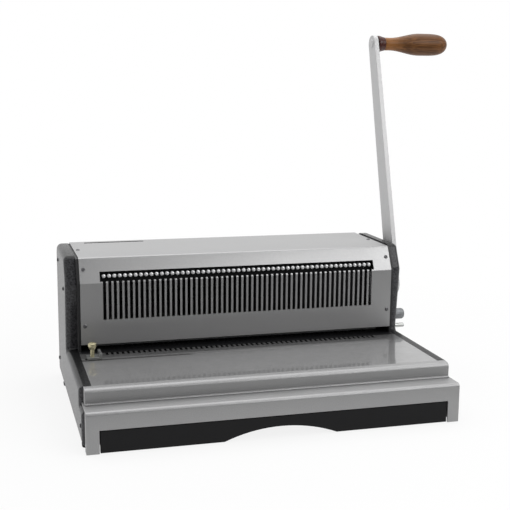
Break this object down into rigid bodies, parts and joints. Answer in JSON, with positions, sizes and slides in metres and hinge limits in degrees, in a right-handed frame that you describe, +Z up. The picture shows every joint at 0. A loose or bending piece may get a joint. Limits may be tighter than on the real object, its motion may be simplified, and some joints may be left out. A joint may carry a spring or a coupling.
{
  "type": "coil binding machine",
  "caption": "Desktop coil binding punch: silver sheet-metal body with a row of dies and pull pins, drop lever with wooden grip, margin controls and a chip drawer.",
  "frame": {"origin": "on the desk plane at the middle of the front left rubber foot", "axes": "+X to the user's right, along the row of dies, +Y to the back, +Z up"},
  "size_m": [0.5356, 0.3162, 0.4424],
  "materials": {
    "silver_paint": "silver metallic paint, satin",
    "table_metal": "polished sheet",
    "black_paint": "black powder coat",
    "charcoal_plastic": "fine-textured charcoal",
    "dark_steel": "black-oxide steel",
    "bright_steel": "ground steel",
    "zinc_steel": "zinc-plated steel",
    "pin_chrome": "nickel-plated",
    "bush_bronze": "bronze",
    "foot_rubber": "black rubber",
    "grip_wood": "turned and varnished brown wood",
    "ferrule_paint": "dark enamel",
    "knob_plate": "yellow-passivated",
    "knob_grey": "grey moulded"
  },
  "bodies": {
    "frame": {"left_side_plate": "black_paint", "right_side_plate": "black_paint", "left_cheek": "charcoal_plastic", "right_cheek": "charcoal_plastic", "punch_cover": "silver_paint", "rear_panel": "silver_paint", "apron": "silver_paint", "nose_bar": "silver_paint", "table_plate": "table_metal", "comb_plate": "table_metal", "table_beams": "black_paint", "die_beams": "black_paint", "die_plate": "dark_steel", "guide_block": "dark_steel", "guide_columns": "bright_steel", "rear_tie_bar": "zinc_steel", "left_bush": "bush_bronze", "right_bush": "bush_bronze", "left_runner": "zinc_steel", "right_runner": "zinc_steel", "rubber_feet": "foot_rubber", "cover_screws": "dark_steel", "cheek_screws": "dark_steel", "rear_screws": "dark_steel", "knob_stop_pin": "zinc_steel", "left_return_spring": "bright_steel", "right_return_spring": "bright_steel"},
    "lever": {"drive_shaft": "bright_steel", "left_pinion": "dark_steel", "right_pinion": "dark_steel", "shaft_collar": "dark_steel", "lever_spacer": "zinc_steel", "lever_bar": "silver_paint", "lever_hub": "dark_steel", "hub_screw": "dark_steel", "grip_bolt": "zinc_steel", "grip_washer": "zinc_steel"},
    "grip": {"grip_ferrule": "ferrule_paint", "wooden_grip": "grip_wood"},
    "ram": {"ram_bar": "dark_steel", "left_rack": "dark_steel", "right_rack": "dark_steel", "rack_screws": "dark_steel", "punches": "bright_steel"},
    "selector_bank": {"selector_bank": "pin_chrome"},
    "selector_left_1": {"selector_left_1": "pin_chrome"},
    "selector_left_2": {"selector_left_2": "pin_chrome"},
    "selector_right_1": {"selector_right_1": "pin_chrome"},
    "selector_right_2": {"selector_right_2": "pin_chrome"},
    "depth_dial": {"depth_shaft": "bright_steel", "depth_pinions": "dark_steel", "depth_knob": "knob_grey"},
    "back_gauge": {"back_gauge": "zinc_steel"},
    "side_guide": {"side_guide": "zinc_steel", "guide_nut": "zinc_steel"},
    "guide_knob": {"guide_knob": "knob_plate"},
    "chip_drawer": {"chip_tray": "black_paint", "drawer_front": "black_paint"}
  },
  "joints": [
    {"name": "lever_swing", "type": "hinge", "parent": "frame", "child": "lever", "pos_m": [0.2047, 0.1845, 0.118], "axis": [1, 0, 0], "range_deg": [0, 90]},
    {"name": "ram_travel", "type": "slide", "parent": "frame", "child": "ram", "axis": [0, 0, -1], "range_m": [0, 0.01375], "stiffness_N_per_m": 2000, "springref_m": -0.02, "deforming": ["left_return_spring", "right_return_spring"]},
    {"name": "grip_spin", "type": "hinge", "parent": "lever", "child": "grip", "pos_m": [0.4337, 0.27447, 0.42769], "axis": [1, 0, 0], "continuous": true},
    {"name": "selector_bank_pull", "type": "slide", "parent": "ram", "child": "selector_bank", "axis": [0, -1, 0], "range_m": [0, 0.01]},
    {"name": "selector_left_1_pull", "type": "slide", "parent": "ram", "child": "selector_left_1", "axis": [0, -1, 0], "range_m": [0, 0.01]},
    {"name": "selector_left_2_pull", "type": "slide", "parent": "ram", "child": "selector_left_2", "axis": [0, -1, 0], "range_m": [0, 0.01]},
    {"name": "selector_right_1_pull", "type": "slide", "parent": "ram", "child": "selector_right_1", "axis": [0, -1, 0], "range_m": [0, 0.01]},
    {"name": "selector_right_2_pull", "type": "slide", "parent": "ram", "child": "selector_right_2", "axis": [0, -1, 0], "range_m": [0, 0.01]},
    {"name": "depth_turn", "type": "hinge", "parent": "frame", "child": "depth_dial", "pos_m": [0.2047, 0.175, 0.078], "axis": [1, 0, 0], "range_deg": [0, 48]},
    {"name": "gauge_travel", "type": "slide", "parent": "frame", "child": "back_gauge", "axis": [0, 1, 0], "range_m": [0, 0.004]},
    {"name": "side_guide_travel", "type": "slide", "parent": "frame", "child": "side_guide", "axis": [1, 0, 0], "range_m": [-0.006, 0.006]},
    {"name": "guide_knob_turn", "type": "hinge", "parent": "side_guide", "child": "guide_knob", "pos_m": [0.0192, 0.111, 0.062], "axis": [0, 0, 1], "continuous": true},
    {"name": "drawer_travel", "type": "slide", "parent": "frame", "child": "chip_drawer", "axis": [0, -1, 0], "range_m": [0, 0.16]}
  ],
  "couplings": [
    {"joint": "ram_travel", "follows": "lever_swing", "m_per_rad": 0.00875},
    {"joint": "depth_turn", "follows": "gauge_travel", "rad_per_m": 208.33}
  ]
}
